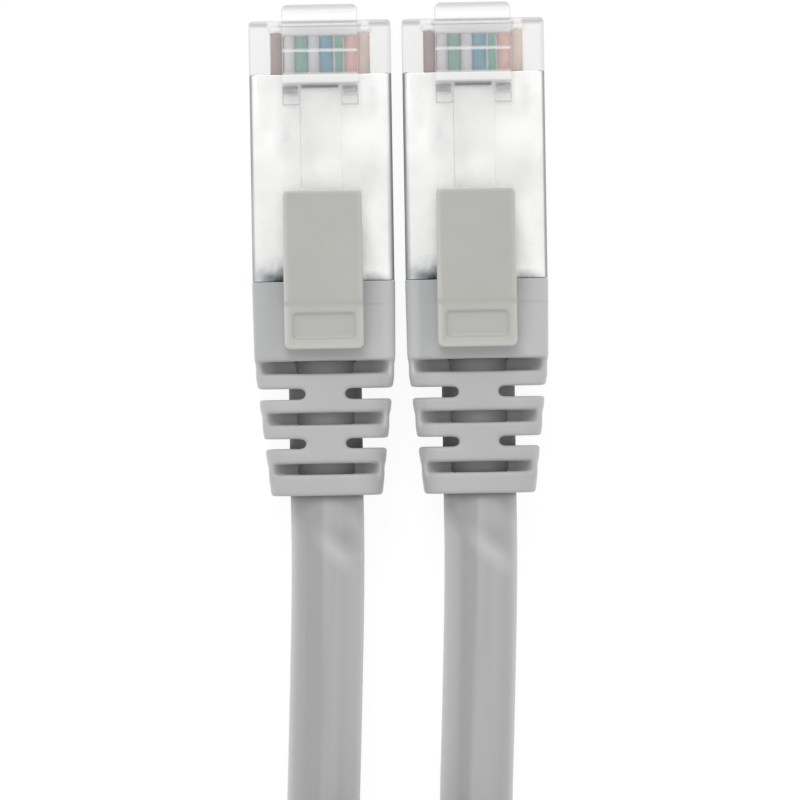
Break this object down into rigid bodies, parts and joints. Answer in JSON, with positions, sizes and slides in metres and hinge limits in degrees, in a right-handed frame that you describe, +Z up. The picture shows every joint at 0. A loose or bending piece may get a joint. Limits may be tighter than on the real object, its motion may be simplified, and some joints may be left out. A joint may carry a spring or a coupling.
{
  "type": "ethernet patch cable",
  "caption": "Short shielded ethernet patch cable: clear modular plugs with sprung latches, ribbed grey boots with latch guards, and a round cable folded into a tied hank.",
  "frame": {"origin": "bottom centre of the two plugs and their boots, without the cable between them", "axes": "+Y towards the plugs' fronts, +Z up on the latch side, +X to the right of both plugs"},
  "size_m": [0.0508, 0.1722, 0.015],
  "materials": {
    "clear_plastic": "clear, polished polycarbonate",
    "latch_plastic": "clear, polished polycarbonate",
    "shield_steel": "bright nickel-plated sheet",
    "contact_gold": "gold-plated, smooth",
    "braid_copper": "tinned wire braid",
    "boot_plastic": "satin moulded grey",
    "guard_plastic": "satin moulded grey",
    "cable_jacket": "satin grey jacket with faint lengthwise streaks",
    "tie_strap": "matt woven strap",
    "wire_brown": "coloured insulation",
    "wire_white_brown": "coloured insulation",
    "wire_green": "coloured insulation",
    "wire_white_blue": "coloured insulation",
    "wire_blue": "coloured insulation",
    "wire_white_green": "coloured insulation",
    "wire_orange": "coloured insulation",
    "wire_white_orange": "coloured insulation"
  },
  "bodies": {
    "cable": {"left_housing": "clear_plastic", "left_shield": "shield_steel", "left_wire_comb": "clear_plastic", "left_jacket_end": "cable_jacket", "left_braid": "braid_copper", "left_boot": "boot_plastic", "left_contact_1": "contact_gold", "left_wire_1": "wire_brown", "left_contact_2": "contact_gold", "left_wire_2": "wire_white_brown", "left_contact_3": "contact_gold", "left_wire_3": "wire_green", "left_contact_4": "contact_gold", "left_wire_4": "wire_white_blue", "left_contact_5": "contact_gold", "left_wire_5": "wire_blue", "left_contact_6": "contact_gold", "left_wire_6": "wire_white_green", "left_contact_7": "contact_gold", "left_wire_7": "wire_orange", "left_contact_8": "contact_gold", "left_wire_8": "wire_white_orange", "right_housing": "clear_plastic", "right_shield": "shield_steel", "right_wire_comb": "clear_plastic", "right_jacket_end": "cable_jacket", "right_braid": "braid_copper", "right_boot": "boot_plastic", "right_contact_1": "contact_gold", "right_wire_1": "wire_brown", "right_contact_2": "contact_gold", "right_wire_2": "wire_white_brown", "right_contact_3": "contact_gold", "right_wire_3": "wire_green", "right_contact_4": "contact_gold", "right_wire_4": "wire_white_blue", "right_contact_5": "contact_gold", "right_wire_5": "wire_blue", "right_contact_6": "contact_gold", "right_wire_6": "wire_white_green", "right_contact_7": "contact_gold", "right_wire_7": "wire_orange", "right_contact_8": "contact_gold", "right_wire_8": "wire_white_orange", "cable_lead_left": "cable_jacket", "cable_lead_right": "cable_jacket", "cable_hank": "cable_jacket", "hank_tie": "tie_strap"},
    "left_latch": {"left_latch": "latch_plastic"},
    "left_latch_guard": {"left_latch_guard": "guard_plastic"},
    "right_latch": {"right_latch": "latch_plastic"},
    "right_latch_guard": {"right_latch_guard": "guard_plastic"}
  },
  "joints": [
    {"name": "left_latch_press", "type": "hinge", "parent": "cable", "child": "left_latch", "pos_m": [-0.00629, 0.0194, 0.00685], "axis": [1, 0, 0], "range_deg": [0, 10], "stiffness_Nm_per_rad": 0.2},
    {"name": "left_guard_press", "type": "hinge", "parent": "cable", "child": "left_latch_guard", "pos_m": [-0.00629, -0.00449, 0.0098], "axis": [1, 0, 0], "range_deg": [-20.6, 0], "stiffness_Nm_per_rad": 0.05},
    {"name": "right_latch_press", "type": "hinge", "parent": "cable", "child": "right_latch", "pos_m": [0.00629, 0.0194, 0.00685], "axis": [1, 0, 0], "range_deg": [0, 10], "stiffness_Nm_per_rad": 0.2},
    {"name": "right_guard_press", "type": "hinge", "parent": "cable", "child": "right_latch_guard", "pos_m": [0.00629, -0.00449, 0.0098], "axis": [1, 0, 0], "range_deg": [-20.6, 0], "stiffness_Nm_per_rad": 0.05}
  ],
  "couplings": [
    {"joint": "left_guard_press", "follows": "left_latch_press", "ratio": -2.05},
    {"joint": "right_guard_press", "follows": "right_latch_press", "ratio": -2.05}
  ]
}
